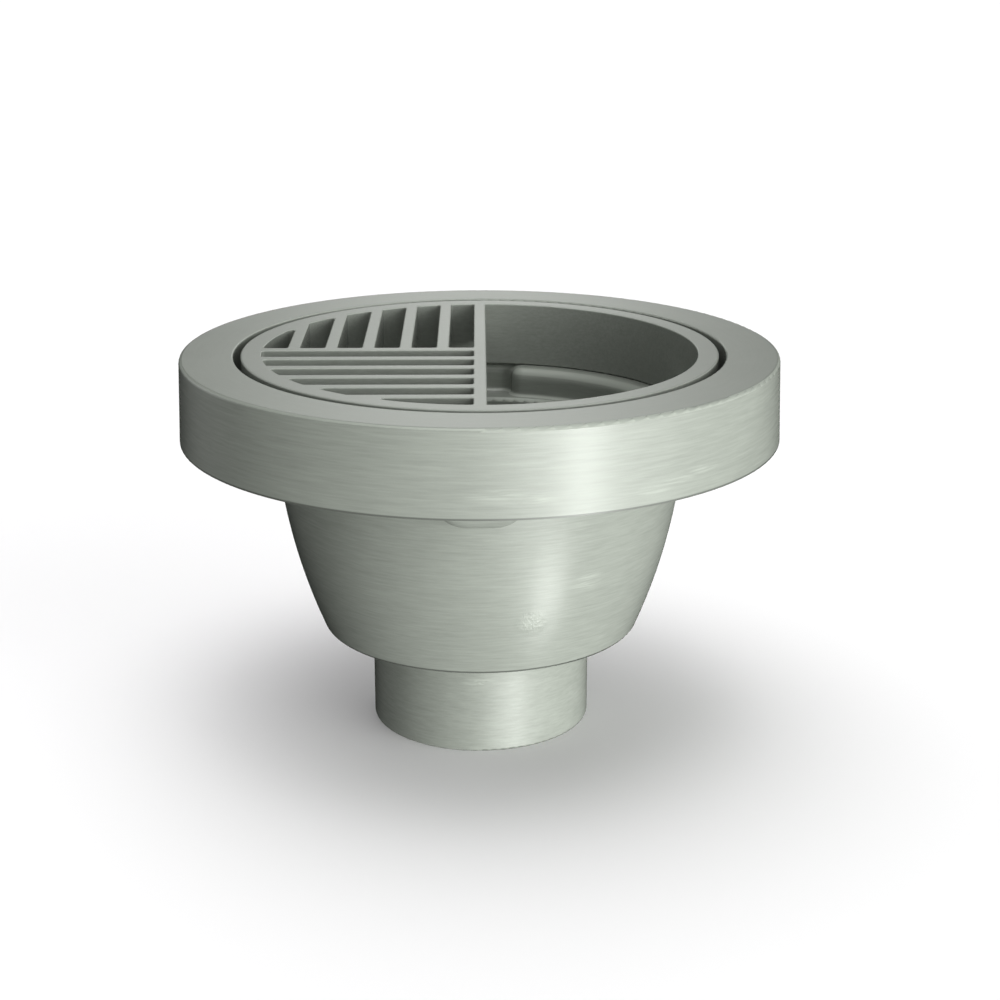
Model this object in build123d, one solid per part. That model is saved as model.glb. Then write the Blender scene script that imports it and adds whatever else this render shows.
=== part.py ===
from build123d import *
import math
import os

# Floor sink: a round moulded body set flush with the floor, and a half grate that rests in its rim.
# Millimetres, +Z up. The origin is the centre of the outlet's lower end, and the front faces -Y.

# Heights, from the outlet's lower end up
OVERALL_HEIGHT = 198.5
OUTLET_LENGTH = 50.0
FLOOR_FALL = 3.9
GRATE_HEIGHT = 34.8
SEAT_WALL = 6.9
THROAT_HEIGHT = 15.9

# Widths across the rim, the seat and the bowl
RECESS_DIAMETER = 250.0
RIM_LAND = 27.0
SEAT_WIDTH = 24.0
THROAT_WALL = 4.6
SHOULDER_WIDTH = 5.2
FLOOR_LAND = 25.25
BOWL_WALL = 6.0
BOWL_SAG = 4.7

# Collar below the rim's top face, hollow from below and stiffened by ribs
RIM_FLARE = 1.4
COLLAR_WALL = 5.5
LAND_WALL = 6.0
RIB_COUNT = 12
RIB_WALL = 4.0
RIB_SETBACK = 6.0

# Outlet, a spigot of 4 inch pipe size
OUTLET_DIAMETER = 114.3
OUTLET_WALL = 6.0
OUTLET_DRAFT = 0.6
COUPLING_LENGTH = 38.0

# Pockets that widen the throat at the front and the back, each in a rounded bulge of the wall
POCKET_WIDTH = 36.0
POCKET_REACH = 11.5
POCKET_WALL = 6.0
POCKET_FLOOR = 7.2
POCKET_CORNER = 5.5
POCKET_MOUTH = 7.5
BULGE_CORNER = 18.0
BULGE_ROUND = 4.0

# Stub left by the mould's gate, low on the left of the bowl
GATE_DIAMETER = 6.0
GATE_LENGTH = 3.4
GATE_ANGLE = 186.0
GATE_INSET = 3.6

# Grate: ring, skirt, divider bar, cross bar and two fields of bars on the left half
GRATE_GAP = 3.7
RING_WIDTH = 10.5
RING_THICKNESS = 6.35
SKIRT_WALL = 5.5
BAR_WIDTH = 6.35
SLOT_WIDTH = 12.7
BAR_DEPTH = 19.0
SLOT_CORNER = 1.6

# Edge rounding
RIM_EDGE = 1.8
RECESS_EDGE = 0.8
SEAT_ROUND = 6.4
THROAT_ROUND = 2.3
SHOULDER_ROUND = 2.2
CORNER_ROUND = 3.0
FLOOR_ROUND = 8.0
MOUTH_ROUND = 4.0
OUTLET_EDGE = 1.5
RING_EDGE = 0.7
SKIRT_EDGE = 0.9
BAR_EDGE = 0.6

# Slack for picking edges and corners by their place
TOLERANCE = 0.01

# Worked out from the values above
recess_r = RECESS_DIAMETER / 2
rim_r = recess_r + RIM_LAND
throat_r = recess_r - SEAT_WIDTH
shoulder_r = throat_r - SHOULDER_WIDTH
bowl_top_r = throat_r + THROAT_WALL
outlet_r = OUTLET_DIAMETER / 2
bore_r = outlet_r - OUTLET_WALL
spigot_top_r = outlet_r + OUTLET_DRAFT
bowl_bottom_r = outlet_r + FLOOR_LAND

seat_z = OVERALL_HEIGHT - GRATE_HEIGHT
collar_z = seat_z - SEAT_WALL
shoulder_z = seat_z - THROAT_HEIGHT
pocket_r = throat_r + POCKET_REACH
corner_z = OUTLET_LENGTH + FLOOR_FALL
floor_slope = math.atan2(FLOOR_FALL, FLOOR_LAND - OUTLET_DRAFT)
floor_rise = BOWL_WALL / math.cos(floor_slope)

ring_outer_r = recess_r - GRATE_GAP
ring_inner_r = ring_outer_r - RING_WIDTH
bar_pitch = BAR_WIDTH + SLOT_WIDTH


def at(radius, height):
    """A point of a profile in the XZ plane, which is turned about Z."""
    return Vector(radius, 0, height)


def wall_arc(top, bottom, sag):
    """A wall's line from top to bottom, bowed outwards by sag at its middle."""
    middle = (top + bottom) * 0.5
    return ThreePointArc(top, middle + Vector(sag, 0, 0), bottom)


def rounded(face, corners):
    """The profile with each named corner rounded, as (point, radius) pairs."""
    for point, radius in corners:
        corner = face.vertices().sort_by_distance(point)[0]
        face = fillet(corner, radius)
    return face


def turned(face):
    """The full solid that a profile sweeps about Z."""
    return revolve(face, axis=Axis.Z, revolution_arc=360)


def outer_form():
    """The body's outside, filled: collar, seat plate, curved bowl, sloping floor and spigot."""
    axis_low, axis_high = at(0, 0), at(0, OVERALL_HEIGHT)
    rim_top = at(rim_r, OVERALL_HEIGHT)
    collar_low = at(rim_r + RIM_FLARE, collar_z)
    bowl_top = at(bowl_top_r, collar_z)
    bowl_corner = at(bowl_bottom_r, corner_z)
    spigot_top = at(spigot_top_r, OUTLET_LENGTH)
    coupling_stop = at(outlet_r, COUPLING_LENGTH)
    spigot_end = at(outlet_r, 0)
    outline = [
        Line(axis_high, rim_top),
        Line(rim_top, collar_low),
        Line(collar_low, bowl_top),
        wall_arc(bowl_top, bowl_corner, BOWL_SAG),
        Line(bowl_corner, spigot_top),
        Line(spigot_top, coupling_stop),
        Line(coupling_stop, spigot_end),
        Line(spigot_end, axis_low),
        Line(axis_low, axis_high),
    ]
    face = make_face(outline)
    corners = [(rim_top, RIM_EDGE), (bowl_corner, CORNER_ROUND), (spigot_end, OUTLET_EDGE)]
    return turned(rounded(face, corners))


def cavity():
    """The body's turned inside: recess, seat, shoulder, curved wall, sloping floor and bore."""
    above = OVERALL_HEIGHT + GRATE_HEIGHT
    below = -OUTLET_LENGTH
    flare_r = recess_r + RIM_LAND / 2
    inner_r = shoulder_r + SHOULDER_WIDTH / 2
    recess_top = at(recess_r, OVERALL_HEIGHT)
    wall_top = at(shoulder_r, shoulder_z)
    floor_corner = at(bowl_bottom_r - BOWL_WALL, corner_z + floor_rise)
    floor_run = floor_corner.X - bore_r
    mouth = at(bore_r, floor_corner.Z - floor_run * math.tan(floor_slope))
    outline = [
        Line(at(0, above), at(flare_r, above)),
        Line(at(flare_r, above), at(flare_r, OVERALL_HEIGHT)),
        Line(at(flare_r, OVERALL_HEIGHT), recess_top),
        Line(recess_top, at(recess_r, seat_z)),
        Line(at(recess_r, seat_z), at(inner_r, seat_z)),
        Line(at(inner_r, seat_z), at(inner_r, shoulder_z)),
        Line(at(inner_r, shoulder_z), wall_top),
        wall_arc(wall_top, floor_corner, BOWL_SAG),
        Line(floor_corner, mouth),
        Line(mouth, at(bore_r, below)),
        Line(at(bore_r, below), at(0, below)),
        Line(at(0, below), at(0, above)),
    ]
    face = make_face(outline)
    corners = [
        (recess_top, RECESS_EDGE),
        (wall_top, SHOULDER_ROUND),
        (floor_corner, FLOOR_ROUND),
        (mouth, MOUTH_ROUND),
    ]
    return turned(rounded(face, corners))


def throat():
    """The opening inside the seat, widened by a pocket at the front and one at the back."""
    plan = Circle(throat_r) + Rectangle(POCKET_WIDTH, 2 * pocket_r)
    by_reach = plan.vertices().sort_by(lambda corner: abs(corner.Y))
    plan = fillet(by_reach[-4:], POCKET_CORNER)
    mouths = [corner for corner in plan.vertices() if is_mouth(corner)]
    plan = fillet(mouths, POCKET_MOUTH)
    block = Pos(0, 0, shoulder_z) * extrude(plan, OVERALL_HEIGHT - shoulder_z)
    return fillet(block.edges().group_by(Axis.Z)[0], THROAT_ROUND)


def is_mouth(corner):
    """True for a corner of the plan where a pocket's side meets the round throat."""
    return math.isclose(math.hypot(corner.X, corner.Y), throat_r, abs_tol=TOLERANCE)


def collar_hollow():
    """The ring-shaped space under the rim's top face, between the collar and the recess wall."""
    inner = recess_r + COLLAR_WALL
    top = OVERALL_HEIGHT - LAND_WALL
    slope = RIM_FLARE / (OVERALL_HEIGHT - collar_z)
    outer_top = rim_r + slope * LAND_WALL - COLLAR_WALL
    outer_low = rim_r + RIM_FLARE - COLLAR_WALL
    outline = Polyline(
        at(inner, top), at(outer_top, top), at(outer_low, collar_z), at(inner, collar_z), close=True
    )
    return turned(make_face(outline))


def ribs(hollow):
    """Radial ribs that cross the collar's hollow, set back from its lower edge."""
    height = OVERALL_HEIGHT - collar_z - RIB_SETBACK
    length = RIM_LAND + RIM_FLARE
    blade = Pos(recess_r + length / 2, 0, collar_z + RIB_SETBACK + height / 2) * Box(
        length, RIB_WALL, height
    )
    first = 180 / RIB_COUNT
    blades = [Rot(0, 0, first + 360 / RIB_COUNT * turn) * blade for turn in range(RIB_COUNT)]
    return [hollow & one for one in blades]


def bulge():
    """Wall round the front pocket, standing out of the bowl below the collar."""
    low_z = shoulder_z - POCKET_FLOOR
    height = seat_z - SEAT_WALL / 2 - low_z
    width = POCKET_WIDTH + 2 * POCKET_WALL
    block = extrude(Plane.XZ * Pos(0, low_z + height / 2) * Rectangle(width, height), pocket_r + POCKET_WALL)
    block = fillet(block.edges().filter_by(Axis.Y).group_by(Axis.Z)[0], BULGE_CORNER)
    back_edges = block.edges().group_by(Axis.Y)[0].sort_by(Axis.Z)
    return fillet(back_edges[:-1], BULGE_ROUND)


def gate_stub():
    """Short round stub under the corner of the bowl."""
    top = corner_z + CORNER_ROUND
    length = GATE_LENGTH + CORNER_ROUND
    radius = bowl_bottom_r - GATE_INSET
    angle = math.radians(GATE_ANGLE)
    centre = Pos(radius * math.cos(angle), radius * math.sin(angle), top - length / 2)
    return centre * Cylinder(GATE_DIAMETER / 2, length)


def seat_lip(solid):
    """Edges of the seat's inner opening."""
    at_seat = [edge for edge in solid.edges() if is_at_height(edge, seat_z)]
    return [edge for edge in at_seat if reach_of(edge) < pocket_r + TOLERANCE]


def is_at_height(edge, height):
    """True for an edge that lies flat at the given height."""
    box = edge.bounding_box()
    return abs(box.min.Z - height) < TOLERANCE and abs(box.max.Z - height) < TOLERANCE


def reach_of(edge):
    """Distance of an edge's middle from the Z axis."""
    middle = edge @ 0.5
    return math.hypot(middle.X, middle.Y)


def sink_body():
    """The moulded body."""
    hollow = collar_hollow()
    solid = outer_form() - hollow
    for rib in ribs(hollow):
        solid += rib
    solid += bulge()
    solid += Rot(0, 0, 180) * bulge()
    solid += gate_stub()
    solid -= cavity()
    solid -= throat()
    return fillet(seat_lip(solid), SEAT_ROUND)


def ring_and_skirt():
    """The grate's ring, flush with the rim, and the skirt that stands on the seat."""
    skirt_r = ring_inner_r + SKIRT_WALL
    flange_z = OVERALL_HEIGHT - RING_THICKNESS
    inner_top = at(ring_inner_r, OVERALL_HEIGHT)
    outer_top = at(ring_outer_r, OVERALL_HEIGHT)
    inner_foot = at(ring_inner_r, seat_z)
    outline = Polyline(
        inner_top,
        outer_top,
        at(ring_outer_r, flange_z),
        at(skirt_r, flange_z),
        at(skirt_r, seat_z),
        inner_foot,
        close=True,
    )
    face = make_face(outline)
    corners = [(inner_top, RING_EDGE), (outer_top, RING_EDGE), (inner_foot, SKIRT_EDGE)]
    return turned(rounded(face, corners))


def slot_outlines():
    """Openings between the bars: six run front to back, six run across."""
    field = Circle(ring_inner_r)
    count = math.ceil((ring_inner_r - BAR_WIDTH / 2) / bar_pitch)
    reach = ring_inner_r - BAR_WIDTH / 2
    openings = []
    for step in range(count):
        offset = BAR_WIDTH / 2 + step * bar_pitch + SLOT_WIDTH / 2
        along = BAR_WIDTH / 2 + reach / 2
        openings.append(field & Pos(-offset, along) * Rectangle(SLOT_WIDTH, reach))
        openings.append(field & Pos(-along, -offset) * Rectangle(reach, SLOT_WIDTH))
    return openings


def bar_field():
    """The left half's plate with its slots, whose upper edges are rounded."""
    plate = Cylinder(ring_inner_r + SKIRT_WALL / 2, BAR_DEPTH, align=(Align.CENTER, Align.CENTER, Align.MIN))
    width = ring_inner_r + SKIRT_WALL
    half = Pos(BAR_WIDTH / 2, 0, 0) * Box(
        width, 2 * width, BAR_DEPTH, align=(Align.MAX, Align.CENTER, Align.MIN)
    )
    plate = plate & half
    for opening in slot_outlines():
        rounded_opening = fillet(opening.vertices(), SLOT_CORNER)
        plate -= extrude(rounded_opening, BAR_DEPTH)
    top_edges = plate.edges().group_by(Axis.Z)[-1]
    slot_edges = [edge for edge in top_edges if reach_of(edge) < ring_inner_r + BAR_EDGE]
    plate = fillet(slot_edges, BAR_EDGE)
    return Pos(0, 0, OVERALL_HEIGHT - BAR_DEPTH) * plate


def half_grate():
    """The moulded grate."""
    return ring_and_skirt() + bar_field()


os.makedirs("parts", exist_ok=True)
export_step(sink_body(), "parts/sink_body.step")
export_step(half_grate(), "parts/half_grate.step")
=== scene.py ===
import math

import bpy
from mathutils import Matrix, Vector


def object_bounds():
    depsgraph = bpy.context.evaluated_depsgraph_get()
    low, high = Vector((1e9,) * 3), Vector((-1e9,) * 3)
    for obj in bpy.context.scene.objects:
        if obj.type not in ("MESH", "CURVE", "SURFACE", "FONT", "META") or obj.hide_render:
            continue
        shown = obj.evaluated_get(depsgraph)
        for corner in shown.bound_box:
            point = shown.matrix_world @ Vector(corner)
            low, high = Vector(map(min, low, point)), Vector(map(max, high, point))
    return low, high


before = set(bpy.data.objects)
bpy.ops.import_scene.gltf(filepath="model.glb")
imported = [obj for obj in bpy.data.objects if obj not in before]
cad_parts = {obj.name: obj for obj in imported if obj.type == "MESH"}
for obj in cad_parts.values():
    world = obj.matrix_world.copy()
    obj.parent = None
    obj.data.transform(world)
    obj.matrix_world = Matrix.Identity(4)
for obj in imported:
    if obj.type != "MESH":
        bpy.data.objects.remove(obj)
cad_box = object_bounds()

sink_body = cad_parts["sink_body"]
half_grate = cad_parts["half_grate"]

# Camera, in metres and degrees: the photograph's viewing angle
CAMERA_PLACE = (-0.00066, -0.9398, 0.41835)
CAMERA_PITCH_DOWN = 17.755
CAMERA_YAW_RIGHT = 0.667
CAMERA_LENS = 67.84
SENSOR_WIDTH = 36.0
VIEW_END = 200.0

# Finish of the moulded plastic
BODY_COLOUR = (0.286, 0.302, 0.277)
GRATE_COLOUR = (0.276, 0.290, 0.268)
PLASTIC_IOR = 1.50
ROUGHNESS = 0.205

# Streaks that run round the body: how many per metre of height, how far they are drawn out, and
# the least distance from the axis, in metres, that their direction is worked out with
STREAK_SCALE = 960.0
STREAK_SPREAD = 0.008
LEAST_DISTANCE = 0.001
# How the grate's streaks are drawn out from side to side
BAR_STRETCH = (0.22, 1.0, 1.0)

# Noises of the finish: scale per metre, detail, roughness and, where it has one, distortion
CLOUDS = (16.0, 4.0, 0.55)
STREAKS = (STREAK_SCALE, 3.0, 0.6)
BANDS = (STREAK_SCALE / 2.4, 2.0, 0.5)
GRAIN = (2400.0, 2.0, 0.6)
SCRATCHES = (STREAK_SCALE * 0.8, 2.0, 0.7, 0.6)
FAINT_RUBS = (30.0, 4.0, 0.6, 0.4)
DENTS = (420.0, 2.0, 0.5, 0.8)

# How far each noise swings the tone, how strongly the sum tells, and the shades it runs between
STREAK_TONE = 0.36
BAND_TONE = 0.14
CLOUD_TONE = 0.14
GRAIN_TONE = 0.10
TONE_GAIN = 2.5
DARK_SHADE = 0.80
PALE_SHADE = 1.20

# Pale wear, a painted highlight on the rounded edges, and thin lines of painted shade: a shade,
# and the share of it that is mixed in
WEAR_AND_HIGHLIGHT_SHADE = 1.75
RUB_SHARE = 0.40
EDGE_HIGHLIGHT_SHARE = 0.50
PAINTED_SHADE_DARKNESS = 0.25
PAINTED_SHADE_SHARE = 0.75

# What each adds to the roughness
STREAK_ROUGHNESS = 0.10
CLOUD_ROUGHNESS = 0.06
WORN_ROUGHNESS = 0.05

# What each adds to the relief, against the streaks' 1, and the relief's strength and height
GRAIN_RELIEF = 0.15
RUB_RELIEF = 0.8
DENT_RELIEF = 60.0
RELIEF_STRENGTH = 0.13
RELIEF_HEIGHT = 0.00008

# Rise of a face, 0 on a wall and 1 on a level top: where walls pass into level faces, and where
# the rounded edges between them begin and end
WALL_TO_LEVEL = (0.5, 0.9)
EDGE_START = (0.35, 0.50)
EDGE_END = (0.90, 0.97)
# Share of the streaks that is left on level faces
LEVEL_FACE_SHARE = 0.2

# Levels of the noise between which the faint rubs fade in, and how strong they get
FAINT_RUB_LEVELS = (0.56, 0.80)
FAINT_RUB_STRENGTH = 0.16
# Levels of the scratch noise between which a rub comes out, and its share left beside scratches
SCRATCH_LEVELS = (0.40, 0.64)
BESIDE_SCRATCHES = 0.15

# The collar's outer wall is the widest part, and rubs on it are centred just inside that wall
COLLAR_RADIUS = cad_box[1][0]
COLLAR_RUBS = COLLAR_RADIUS - 0.0014

# Rubbed places on the walls: azimuth, distance from the axis, height, half length, half height.
# Azimuths are in degrees from the camera's side, positive to its right, and the rest is in metres.
RUBBED = [
    (3, COLLAR_RUBS, 0.1675, 0.020, 0.0055),
    (10, COLLAR_RUBS, 0.1655, 0.014, 0.0040),
    (31, COLLAR_RUBS, 0.1640, 0.014, 0.0030),
    (36, COLLAR_RUBS, 0.1665, 0.014, 0.0030),
    (42, COLLAR_RUBS, 0.1690, 0.014, 0.0030),
    (31.5, 0.0984, 0.1030, 0.012, 0.0080),
    (-1, 0.0571, 0.0385, 0.012, 0.0040),
]
# Rough places, where the skin of the moulding is dented as well
ROUGHENED = [
    (15.5, 0.0931, 0.0835, 0.010, 0.0085),
]
# Share of a rubbed place's reach that is fully rubbed
RUB_MIDDLE = 0.1

# Painted shade: thin dark lines under the collar's lower edge and where the bowl meets the hub:
# distance from the axis, height, half width
PAINTED_SHADE_EDGES = [
    (COLLAR_RADIUS, 0.1570, 0.0010),
    (0.0826, 0.0546, 0.0012),
]
# Share of a line's half width that is fully darkened by the painted shade
PAINTED_SHADE_MIDDLE = 0.4

# Floor: a plain pale plane that shows the sink's soft shadow
FLOOR_HALF = 40.0
FLOOR_COLOUR = (0.918, 0.900, 0.928, 1.0)
FLOOR_ROUGHNESS = 0.9

# Light of the studio, as soft round patches on a dome: azimuth, elevation, half width in degrees,
# strength. Azimuth 0 is the camera's side and positive is to its right.
DOME_PATCHES = [
    (30, 0, 17, 3.3),
    (30, -20, 15, 3.5),
    (60, 8, 16, 4.2),
    (40, -11, 6.2, 3.8),
    (36, -14, 5.5, 3.2),
    (46, -44, 6.8, 5.8),
    (52, -48, 6, 2.8),
    (345, 6, 15, 0.9),
    (240, 10, 15, 1.1),
    (180, 14, 5, 0.95),
    (180, 24, 7, 0.85),
    (180, 40, 12, 0.7),
    (0, 90, 18, 2.15),
    (20, 74, 8, 1.8),
]
DOME_TINT = (0.975, 1.0, 0.96, 1.0)
BACKDROP_COLOUR = (1.0, 1.0, 1.0, 1.0)
BACKDROP_GLOW = 1.05

# Wide soft lamps that light the floor alone: azimuth, tilt from overhead in degrees, strength
FLOOR_LAMPS = [
    (180, 25, 0.80),
    (270, 25, 0.71),
]
FLOOR_LAMP_WIDTH = 78

# A wide soft lamp behind the part, for the walls that face away from the camera
BACK_LAMP_AZIMUTH = 180
BACK_LAMP_TILT = 90
BACK_LAMP_POWER = 2.4
BACK_LAMP_WIDTH = 40

# A narrow lamp that shines through the grate's open half on the step at the back of the bowl
STEP_LAMP_PLACE = (0.035, -0.132, 0.923)
STEP_LAMP_TARGET = (0.035, 0.075, 0.150)
STEP_LAMP_WIDTH = 5.4
STEP_LAMP_BLEND = 0.3
STEP_LAMP_RADIUS = 0.05
STEP_LAMP_POWER = 7.0


class Graph:
    """Short ways to add and join the nodes of one node tree."""

    def __init__(self, tree):
        self.tree = tree
        self.tree.nodes.clear()

    def add(self, kind, **values):
        node = self.tree.nodes.new(kind)
        for name, value in values.items():
            setattr(node, name, value)
        return node

    def set(self, socket, value):
        """Joins a socket to another, or gives it a plain value."""
        if isinstance(value, bpy.types.NodeSocket):
            self.tree.links.new(value, socket)
        else:
            socket.default_value = value

    def fill(self, node, values):
        """Sets a node's first inputs in their order."""
        for socket, value in zip(node.inputs, values):
            self.set(socket, value)

    def math(self, operation, *values):
        node = self.add("ShaderNodeMath", operation=operation)
        self.fill(node, values)
        return node.outputs[0]

    def vector_math(self, operation, *values):
        node = self.add("ShaderNodeVectorMath", operation=operation)
        self.fill(node, values)
        return node.outputs["Value" if operation in ("LENGTH", "DOT_PRODUCT") else "Vector"]

    def centred(self, noise, amount):
        """Noise that swings by the amount round zero."""
        return self.math("MULTIPLY_ADD", noise, amount, -amount / 2)

    def remap(self, value, low, high, out_low, out_high):
        """Runs smoothly from out_low to out_high while the value goes from low to high."""
        node = self.add("ShaderNodeMapRange", interpolation_type="SMOOTHSTEP")
        self.fill(node, (value, low, high, out_low, out_high))
        return node.outputs[0]

    def noise(self, vector, scale, detail, roughness, distortion=0.0):
        node = self.add("ShaderNodeTexNoise")
        self.set(node.inputs["Vector"], vector)
        self.set(node.inputs["Scale"], scale)
        self.set(node.inputs["Detail"], detail)
        self.set(node.inputs["Roughness"], roughness)
        self.set(node.inputs["Distortion"], distortion)
        return node.outputs["Fac"]

    def vector(self, x, y, z):
        node = self.add("ShaderNodeCombineXYZ")
        self.fill(node, (x, y, z))
        return node.outputs[0]

    def split(self, vector):
        node = self.add("ShaderNodeSeparateXYZ")
        self.set(node.inputs[0], vector)
        return node.outputs

    def rise(self):
        """How far a face points up: 1 on a level top, 0 on a wall, -1 on an underside."""
        return self.split(self.add("ShaderNodeNewGeometry").outputs["Normal"])[2]

    def mix(self, factor, first, second):
        node = self.add("ShaderNodeMix", data_type="RGBA")
        self.set(node.inputs["Factor"], factor)
        self.set(node.inputs["A"], first)
        self.set(node.inputs["B"], second)
        return node.outputs["Result"]

    def end(self, kind, shader):
        self.set(self.add(kind).inputs["Surface"], shader.outputs[0])

    def surface(self, inputs):
        """Ends a material's tree with its shader, which gets these inputs by name."""
        shader = self.add("ShaderNodeBsdfPrincipled")
        for name, value in inputs.items():
            self.set(shader.inputs[name], value)
        self.end("ShaderNodeOutputMaterial", shader)


def shade(colour, factor):
    return (*[channel * factor for channel in colour], 1.0)


def towards(azimuth, elevation):
    """Unit vector from the middle to an azimuth and elevation in degrees."""
    turn, lift = math.radians(azimuth), math.radians(elevation)
    return (math.sin(turn) * math.cos(lift), -math.cos(turn) * math.cos(lift), math.sin(lift))


def distance_from_axis(graph, x, y):
    return graph.math("SQRT", graph.math("MULTIPLY_ADD", x, x, graph.math("MULTIPLY", y, y)))


def round_the_axis(graph, place):
    """Coordinates that run round Z, so noise on them is drawn out along the turning direction."""
    x, y, z = graph.split(place)
    radius = distance_from_axis(graph, x, y)
    safe_radius = graph.math("MAXIMUM", radius, LEAST_DISTANCE)
    cosine = graph.math("DIVIDE", x, safe_radius)
    sine = graph.math("DIVIDE", y, safe_radius)
    return graph.vector(
        graph.math("MULTIPLY", cosine, STREAK_SPREAD),
        graph.math("MULTIPLY", sine, STREAK_SPREAD),
        graph.math("ADD", z, radius),
    )


def along_the_bars(graph, place):
    """Coordinates for the grate, drawn out a little from side to side."""
    return graph.vector_math("MULTIPLY", place, BAR_STRETCH)


def wall_share(graph, rise):
    """1 on upright walls, where the streaks show, and low on the level faces, which are smooth."""
    steepness = graph.math("ABSOLUTE", rise)
    return graph.remap(steepness, *WALL_TO_LEVEL, 1.0, LEVEL_FACE_SHARE)


def painted_edge_highlight(graph, rise):
    """1 on the rounded upper edges, between wall and top, which are painted paler as a highlight.
    """
    begun = graph.remap(rise, *EDGE_START, 0.0, 1.0)
    return graph.math("MULTIPLY", begun, graph.remap(rise, *EDGE_END, 1.0, 0.0))


def rubbed_places(graph, place, marks):
    """1 in the middle of each rubbed place, falling to 0 at its reach."""
    total = 0.0
    for azimuth, distance, height, half_length, half_height in marks:
        x, y, _ = towards(azimuth, 0)
        centre = (distance * x, distance * y, height)
        reach = (half_length, half_length, half_height)
        away = graph.vector_math("DIVIDE", graph.vector_math("SUBTRACT", place, centre), reach)
        level = graph.remap(graph.vector_math("LENGTH", away), RUB_MIDDLE, 1.0, 1.0, 0.0)
        total = graph.math("MAXIMUM", level, total)
    return total


def painted_shade_lines(graph, place, lines):
    """1 on each line of painted shade that runs round the axis, falling to 0 at its half width."""
    x, y, z = graph.split(place)
    radius = distance_from_axis(graph, x, y)
    total = 0.0
    for distance, height, half_width in lines:
        outwards = graph.math("SUBTRACT", radius, distance)
        upwards = graph.math("SUBTRACT", z, height)
        away = graph.vector_math("LENGTH", graph.vector(outwards, upwards, 0.0))
        line = graph.remap(away, half_width * PAINTED_SHADE_MIDDLE, half_width, 1.0, 0.0)
        total = graph.math("MAXIMUM", line, total)
    return total


def wear(graph, place, marked, upright):
    """Broad faint rubs on the walls, and stronger ones on the marked places."""
    noise = graph.noise(place, *FAINT_RUBS)
    faint = graph.remap(noise, *FAINT_RUB_LEVELS, 0.0, FAINT_RUB_STRENGTH)
    return graph.math("MULTIPLY", graph.math("MAXIMUM", faint, marked), upright)


def scratched(graph, streak_place, worn):
    """The wear, broken up into scratches."""
    scratches = graph.noise(streak_place, *SCRATCHES)
    showing = graph.remap(scratches, *SCRATCH_LEVELS, BESIDE_SCRATCHES, 1.0)
    return graph.math("MULTIPLY", worn, showing)


def mottled(graph, colour, streaks, bands, clouds, grain, upright):
    """The colour, swung between a darker and a paler shade of it by the noises."""
    lines = graph.math("ADD", graph.centred(streaks, STREAK_TONE), graph.centred(bands, BAND_TONE))
    tone = graph.math("MULTIPLY_ADD", lines, upright, graph.centred(clouds, CLOUD_TONE))
    tone = graph.math("ADD", tone, graph.centred(grain, GRAIN_TONE))
    level = graph.math("MULTIPLY_ADD", tone, TONE_GAIN, 0.5)
    return graph.mix(level, shade(colour, DARK_SHADE), shade(colour, PALE_SHADE))


def uneven_roughness(graph, streaks, clouds, worn, upright):
    swing = graph.centred(streaks, STREAK_ROUGHNESS)
    rough = graph.math("MULTIPLY_ADD", swing, upright, ROUGHNESS)
    rough = graph.math("ADD", rough, graph.centred(clouds, CLOUD_ROUGHNESS))
    return graph.math("MULTIPLY_ADD", worn, WORN_ROUGHNESS, rough)


def relief(graph, place, streaks, grain, rubs, dented, upright):
    """The bumped normal: streaks and grain everywhere, scratches and dents on the worn places."""
    height = graph.math("MULTIPLY", streaks, upright)
    height = graph.math("MULTIPLY_ADD", grain, GRAIN_RELIEF, height)
    height = graph.math("MULTIPLY_ADD", rubs, RUB_RELIEF, height)
    dents = graph.math("MULTIPLY", graph.noise(place, *DENTS), dented)
    height = graph.math("MULTIPLY_ADD", dents, DENT_RELIEF, height)
    bump = graph.add("ShaderNodeBump")
    graph.set(bump.inputs["Height"], height)
    graph.set(bump.inputs["Strength"], RELIEF_STRENGTH)
    graph.set(bump.inputs["Distance"], RELIEF_HEIGHT)
    return bump.outputs["Normal"]


def moulded_plastic(name, colour, along, rubbed=(), roughened=(), shade_edges=()):
    """Satin grey-green PVC: cloudy colour, fine streaks, a light grain and pale rubs, with a
    painted highlight on the rounded upper edges and thin lines of painted shade.
    """
    material = bpy.data.materials.new(name)
    material.use_nodes = True
    graph = Graph(material.node_tree)
    place = graph.add("ShaderNodeTexCoord").outputs["Object"]
    streak_place = along(graph, place)
    rise = graph.rise()
    upright = wall_share(graph, rise)
    clouds = graph.noise(place, *CLOUDS)
    streaks = graph.noise(streak_place, *STREAKS)
    bands = graph.noise(streak_place, *BANDS)
    grain = graph.noise(place, *GRAIN)

    dented = rubbed_places(graph, place, roughened)
    marked = graph.math("MAXIMUM", rubbed_places(graph, place, rubbed), dented)
    worn = wear(graph, place, marked, upright)
    rubs = scratched(graph, streak_place, worn)

    base = mottled(graph, colour, streaks, bands, clouds, grain, upright)
    layers = [
        (rubs, RUB_SHARE, WEAR_AND_HIGHLIGHT_SHADE),
        # Painted highlight: the rounded upper edges made paler
        (painted_edge_highlight(graph, rise), EDGE_HIGHLIGHT_SHARE, WEAR_AND_HIGHLIGHT_SHADE),
        # Painted shade: thin dark lines under the collar and where the bowl meets the hub
        (painted_shade_lines(graph, place, shade_edges), PAINTED_SHADE_SHARE, PAINTED_SHADE_DARKNESS),
    ]
    for mask, share, factor in layers:
        base = graph.mix(graph.math("MULTIPLY", mask, share), base, shade(colour, factor))

    graph.surface({
        "Base Color": base,
        "Roughness": uneven_roughness(graph, streaks, clouds, worn, upright),
        "Normal": relief(graph, place, streaks, grain, rubs, dented, upright),
        "IOR": PLASTIC_IOR,
    })
    return material


def paint(node, material):
    node.data.materials.clear()
    node.data.materials.append(material)


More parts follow.
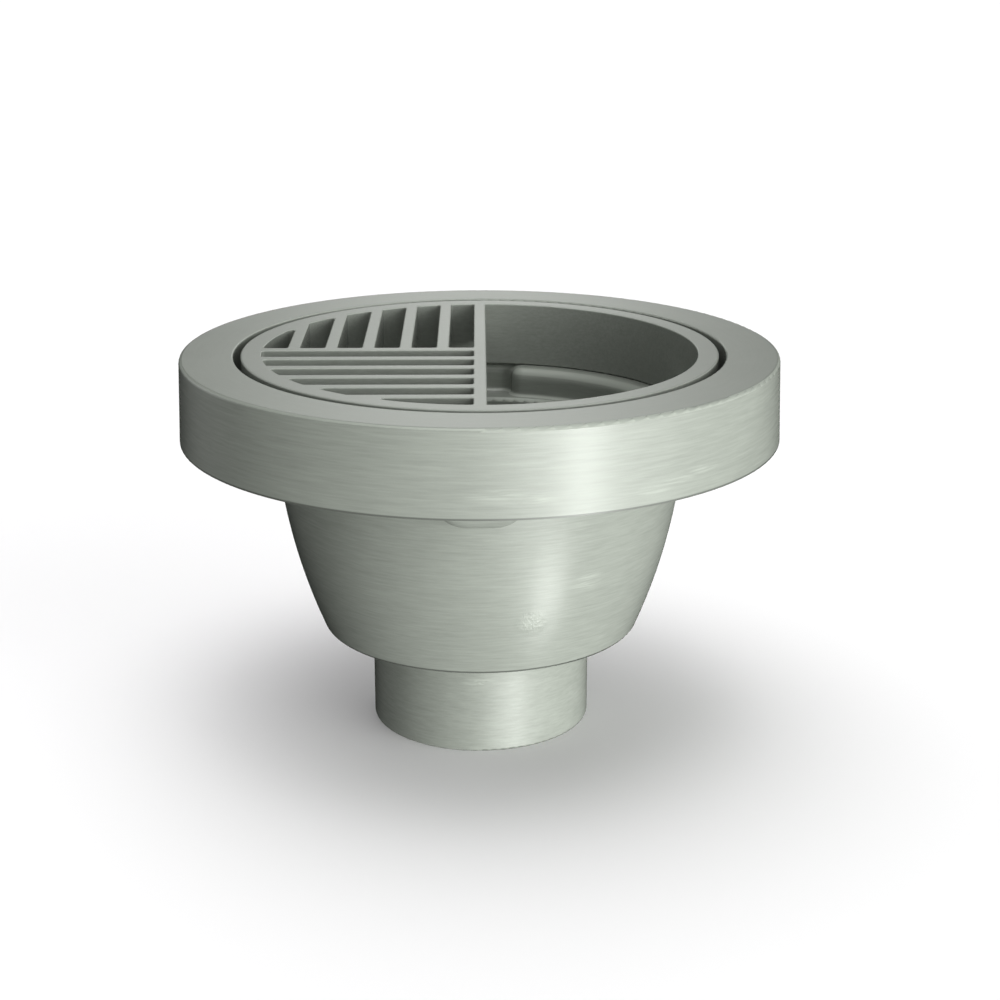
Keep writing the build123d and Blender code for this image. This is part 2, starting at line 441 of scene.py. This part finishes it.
def floor_material():
    material = bpy.data.materials.new("studio_floor")
    material.use_nodes = True
    Graph(material.node_tree).surface({
        "Base Color": FLOOR_COLOUR,
        "Roughness": FLOOR_ROUGHNESS,
        "Specular IOR Level": 0.0,
    })
    return material


def flat_plane(name, half):
    mesh = bpy.data.meshes.new(name)
    corners = [(-half, -half, 0.0), (half, -half, 0.0), (half, half, 0.0), (-half, half, 0.0)]
    mesh.from_pydata(corners, [], [(0, 1, 2, 3)])
    plane = bpy.data.objects.new(name, mesh)
    bpy.context.scene.collection.objects.link(plane)
    return plane


def studio_floor():
    """The floor takes the part's shadow. It doesn't light or shade the part, or mirror in it."""
    plane = flat_plane("studio_floor", FLOOR_HALF)
    paint(plane, floor_material())
    plane.visible_diffuse = False
    plane.visible_glossy = False
    plane.visible_shadow = False
    return plane


def dome_light(graph):
    """The sum of the soft round patches."""
    direction = graph.add("ShaderNodeTexCoord").outputs["Generated"]
    total = 0.0
    for azimuth, elevation, width, strength in DOME_PATCHES:
        tightness = 1 / math.radians(width) ** 2
        cosine = graph.vector_math("DOT_PRODUCT", direction, towards(azimuth, elevation))
        fall = graph.math("EXPONENT", graph.math("MULTIPLY_ADD", cosine, tightness, -tightness))
        total = graph.math("MULTIPLY_ADD", fall, strength, total)
    light = graph.add("ShaderNodeBackground")
    light.inputs["Color"].default_value = DOME_TINT
    graph.set(light.inputs["Strength"], total)
    return light


def backdrop_light(graph):
    """Behind the floor's edge the eye meets a plain white backdrop, which lights nothing."""
    backdrop = graph.add("ShaderNodeBackground")
    backdrop.inputs["Color"].default_value = BACKDROP_COLOUR
    backdrop.inputs["Strength"].default_value = BACKDROP_GLOW
    return backdrop


def dome():
    world = bpy.data.worlds.new("studio_dome")
    world.use_nodes = True
    bpy.context.scene.world = world
    graph = Graph(world.node_tree)
    seen = graph.add("ShaderNodeMixShader")
    graph.set(seen.inputs[0], graph.add("ShaderNodeLightPath").outputs["Is Camera Ray"])
    graph.set(seen.inputs[1], dome_light(graph).outputs[0])
    graph.set(seen.inputs[2], backdrop_light(graph).outputs[0])
    graph.end("ShaderNodeOutputWorld", seen)


def collection_of(name, members):
    collection = bpy.data.collections.new(name)
    for member in members:
        collection.objects.link(member)
    return collection


def sun_lamp(name, azimuth, tilt, strength, width, receivers):
    """A wide soft lamp that lights only its receivers, tilted from overhead to its azimuth."""
    light = bpy.data.lights.new(name, "SUN")
    light.angle = math.radians(width)
    light.energy = strength
    lamp = bpy.data.objects.new(name, light)
    lamp.rotation_euler = (math.radians(tilt), 0.0, math.radians(azimuth))
    lamp.light_linking.receiver_collection = receivers
    bpy.context.scene.collection.objects.link(lamp)
    return lamp


def floor_lamps(floor):
    """Lamps that soften the shadow on the floor."""
    only_floor = collection_of("lit_by_floor_lamps", [floor])
    for number, (azimuth, tilt, strength) in enumerate(FLOOR_LAMPS):
        sun_lamp(f"floor_lamp_{number}", azimuth, tilt, strength, FLOOR_LAMP_WIDTH, only_floor)


def back_lamp():
    only_part = collection_of("lit_by_back_lamp", [sink_body, half_grate])
    lamp = sun_lamp(
        "back_lamp",
        BACK_LAMP_AZIMUTH,
        BACK_LAMP_TILT,
        BACK_LAMP_POWER,
        BACK_LAMP_WIDTH,
        only_part,
    )
    # Only its soft light counts: it doesn't show as a glare on the edges seen from the front
    lamp.visible_glossy = False


def step_lamp():
    light = bpy.data.lights.new("step_lamp", "SPOT")
    light.energy = STEP_LAMP_POWER
    light.shadow_soft_size = STEP_LAMP_RADIUS
    light.spot_size = math.radians(STEP_LAMP_WIDTH)
    light.spot_blend = STEP_LAMP_BLEND
    lamp = bpy.data.objects.new("step_lamp", light)
    lamp.location = STEP_LAMP_PLACE
    aim = Vector(STEP_LAMP_TARGET) - Vector(STEP_LAMP_PLACE)
    lamp.rotation_euler = aim.to_track_quat("-Z", "Y").to_euler()
    bpy.context.scene.collection.objects.link(lamp)


def photo_camera():
    data = bpy.data.cameras.new("photo_camera")
    data.sensor_width = SENSOR_WIDTH
    data.lens = CAMERA_LENS
    data.clip_end = VIEW_END
    camera = bpy.data.objects.new("photo_camera", data)
    camera.location = CAMERA_PLACE
    camera.rotation_euler = (
        math.radians(90 - CAMERA_PITCH_DOWN),
        0.0,
        -math.radians(CAMERA_YAW_RIGHT),
    )
    bpy.context.scene.collection.objects.link(camera)
    bpy.context.scene.camera = camera


body_plastic = moulded_plastic(
    "body_pvc", BODY_COLOUR, round_the_axis, RUBBED, ROUGHENED, PAINTED_SHADE_EDGES
)
paint(sink_body, body_plastic)
paint(half_grate, moulded_plastic("grate_pvc", GRATE_COLOUR, along_the_bars))

floor = studio_floor()

dome()
floor_lamps(floor)
back_lamp()
step_lamp()

photo_camera()
bpy.context.scene.view_settings.view_transform = "Standard"
